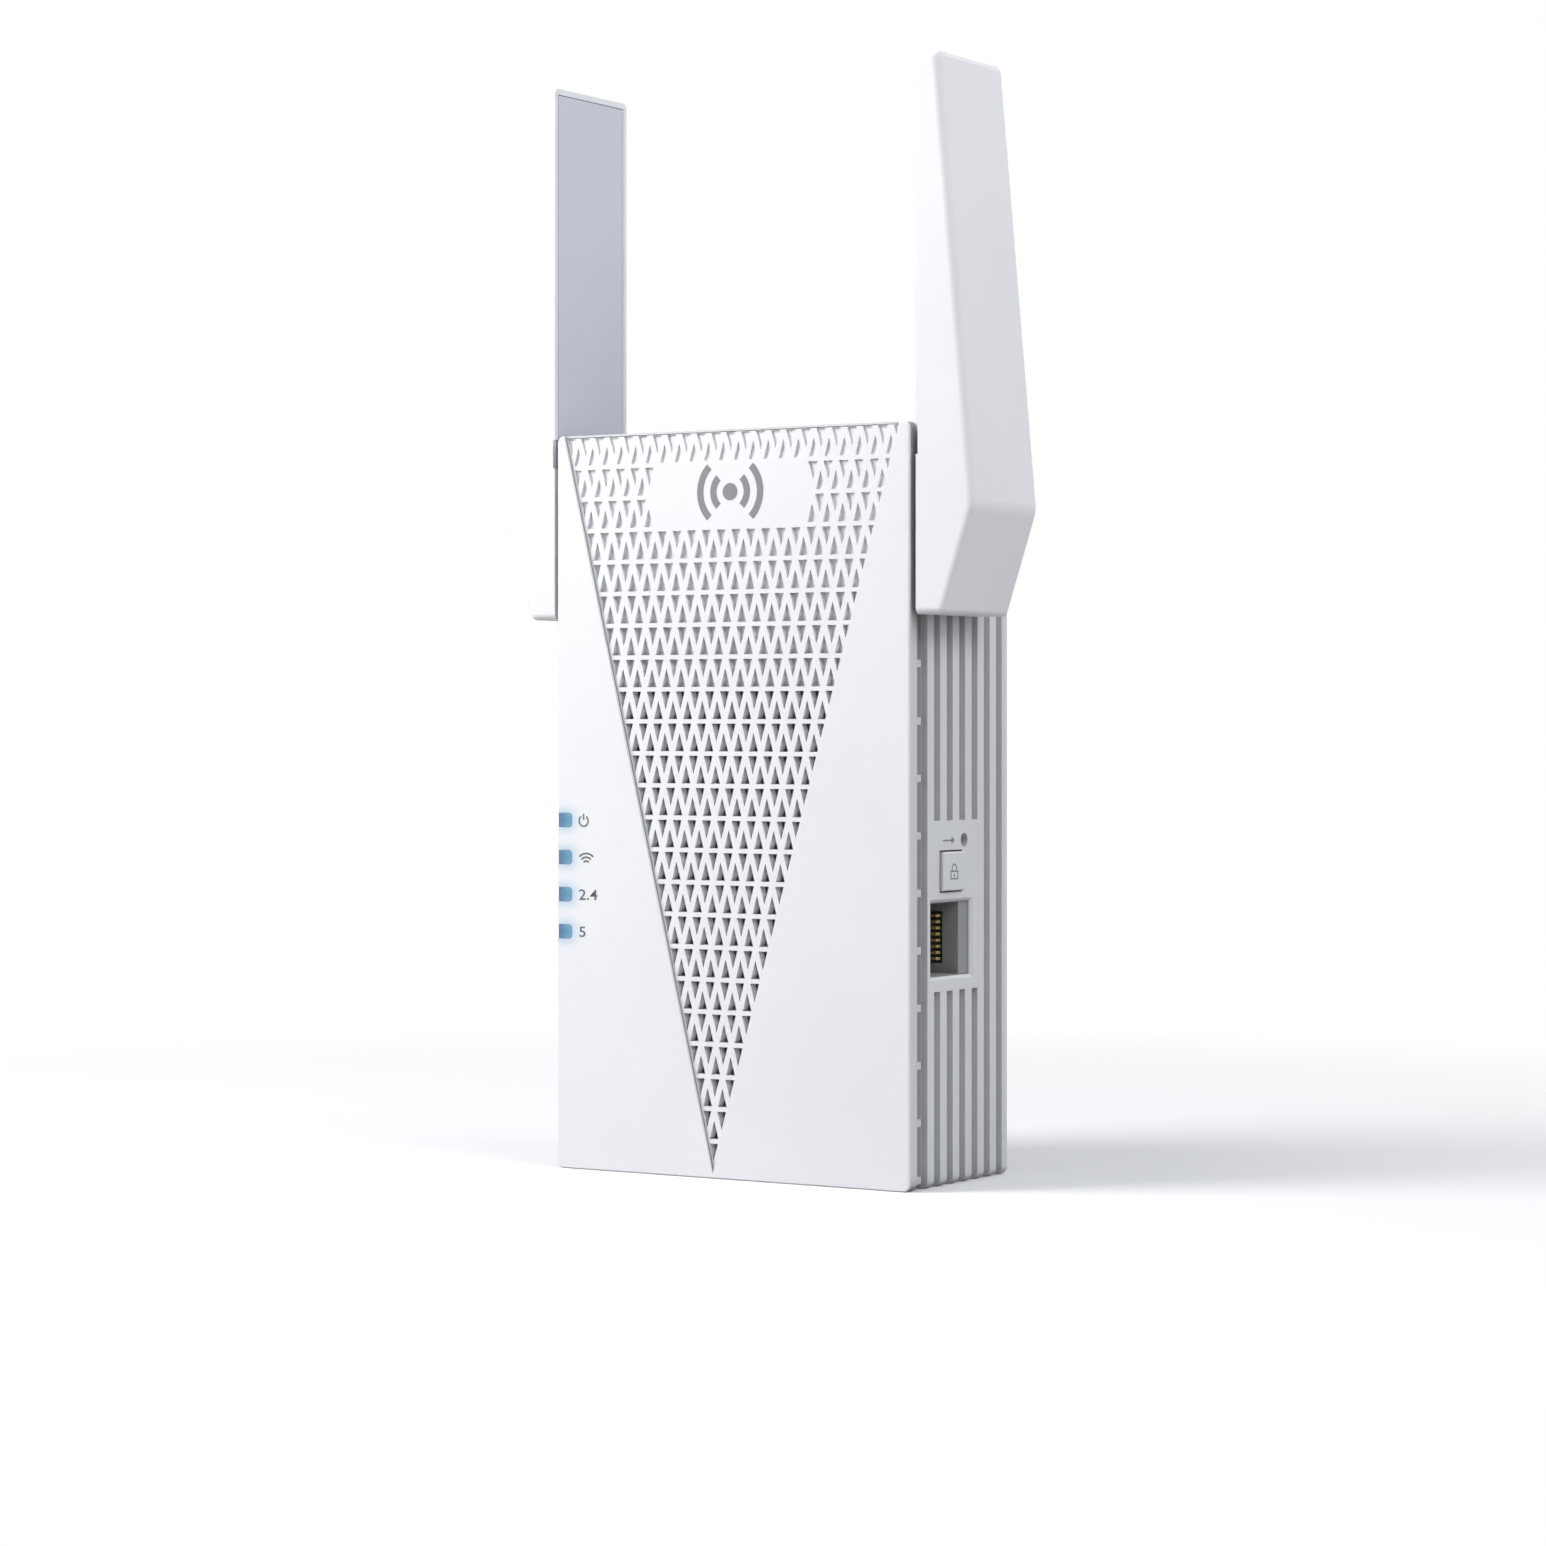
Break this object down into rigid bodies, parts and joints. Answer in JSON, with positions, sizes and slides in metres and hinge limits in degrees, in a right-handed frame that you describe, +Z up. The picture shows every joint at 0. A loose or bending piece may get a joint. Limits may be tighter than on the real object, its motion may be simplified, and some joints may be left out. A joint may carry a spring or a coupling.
{
  "type": "wifi range extender",
  "caption": "Upright plug-in radio repeater: flat front with a V-shaped lattice grille, ribbed side walls, two folding flat antennas, a network socket and two flat mains blades.",
  "frame": {"origin": "centre of the plug's seating face, midway between the two blades", "axes": "+Z up along the antennas, +Y out of the back along the blades into the wall, +X to the right seen from the front"},
  "size_m": [0.0926, 0.0502, 0.1845],
  "materials": {
    "cover_white": "fine satin, moulded",
    "grille_white": "fine satin, moulded",
    "housing_grey": "satin, moulded",
    "rear_grey": "fine texture, moulded",
    "plug_grey": "smooth, moulded",
    "blade_nickel": "nickel-plated, drawn",
    "screw_steel": "zinc-plated",
    "clear_guide": "moulded acrylic, lit blue",
    "led_package": "lit blue",
    "button_grey": "satin, moulded",
    "switch_black": "moulded",
    "plunger_dark": "moulded",
    "board_dark": "dark solder resist",
    "jack_black": "moulded",
    "tinned_steel": "tin-plated, pressed",
    "contact_gold": "gold-flashed, drawn",
    "chip_black": "moulded resin",
    "sink_aluminium": "extruded",
    "thermal_rubber": "soft, matt",
    "ferrite_grey": "sintered",
    "winding_tape": "polyester tape",
    "capacitor_sleeve": "shrunk sleeve",
    "fuse_ceramic": "coated",
    "ceramic_blue": "dipped",
    "insulator_film": "polyester film",
    "antenna_white": "satin, moulded",
    "antenna_lid_white": "satin, moulded",
    "barrel_nylon": "smooth nylon",
    "aerial_board": "solder resist",
    "aerial_copper": "bare copper",
    "lead_black": "smooth sheath"
  },
  "bodies": {
    "extender_body": {"board_link_pins": "contact_gold", "board_link_spacer": "chip_black", "board_screws": "screw_steel", "button_board": "board_dark", "ethernet_contacts": "contact_gold", "ethernet_jack_body": "jack_black", "ethernet_jack_shield": "tinned_steel", "ethernet_transformer": "chip_black", "filter_inductor": "ferrite_grey", "front_cover": "cover_white", "grille_insert": "grille_white", "heat_sink": "sink_aluminium", "indicator_leds": "led_package", "input_capacitors": "capacitor_sleeve", "input_fuse": "fuse_ceramic", "insulating_sheet": "insulator_film", "left_board_lead": "lead_black", "left_friction_washer": "barrel_nylon", "left_spring_washer": "screw_steel", "light_guide": "clear_guide", "main_board": "board_dark", "memory_chips": "chip_black", "mid_housing": "housing_grey", "output_capacitors": "capacitor_sleeve", "pairing_switch": "switch_black", "plug_blade_left": "blade_nickel", "plug_blade_right": "blade_nickel", "plug_block": "plug_grey", "power_board": "board_dark", "processor": "chip_black", "radio_shield_high": "tinned_steel", "radio_shield_low": "tinned_steel", "rear_cover": "rear_grey", "rear_screws": "screw_steel", "reset_switch": "switch_black", "right_board_lead": "lead_black", "right_friction_washer": "barrel_nylon", "right_spring_washer": "screw_steel", "safety_capacitor": "ceramic_blue", "supply_chips": "chip_black", "thermal_pad": "thermal_rubber", "transformer_core": "ferrite_grey", "transformer_winding": "winding_tape"},
    "left_antenna": {"left_antenna_shell": "antenna_white", "left_antenna_lid": "antenna_lid_white", "left_hinge_barrel": "barrel_nylon", "left_hinge_clip": "screw_steel", "left_antenna_board": "aerial_board", "left_antenna_copper": "aerial_copper", "left_antenna_lead": "lead_black"},
    "right_antenna": {"right_antenna_shell": "antenna_white", "right_antenna_lid": "antenna_lid_white", "right_hinge_barrel": "barrel_nylon", "right_hinge_clip": "screw_steel", "right_antenna_board": "aerial_board", "right_antenna_copper": "aerial_copper", "right_antenna_lead": "lead_black"},
    "pairing_button": {"pairing_button": "button_grey", "pairing_plunger": "plunger_dark"},
    "reset_plunger": {"reset_plunger": "plunger_dark"}
  },
  "joints": [
    {"name": "left_antenna_hinge", "type": "hinge", "parent": "extender_body", "child": "left_antenna", "pos_m": [-0.03555, -0.0221, 0.0825], "axis": [1, 0, 0], "range_deg": [0, 180]},
    {"name": "right_antenna_hinge", "type": "hinge", "parent": "extender_body", "child": "right_antenna", "pos_m": [0.03555, -0.0221, 0.0825], "axis": [1, 0, 0], "range_deg": [0, 180]},
    {"name": "pairing_button_press", "type": "slide", "parent": "extender_body", "child": "pairing_button", "axis": [-1, 0, 0], "range_m": [0, 0.0005], "stiffness_N_per_m": 1200, "springref_m": -0.0004},
    {"name": "reset_plunger_press", "type": "slide", "parent": "extender_body", "child": "reset_plunger", "axis": [-1, 0, 0], "range_m": [0, 0.00025], "stiffness_N_per_m": 800, "springref_m": -0.0005}
  ]
}
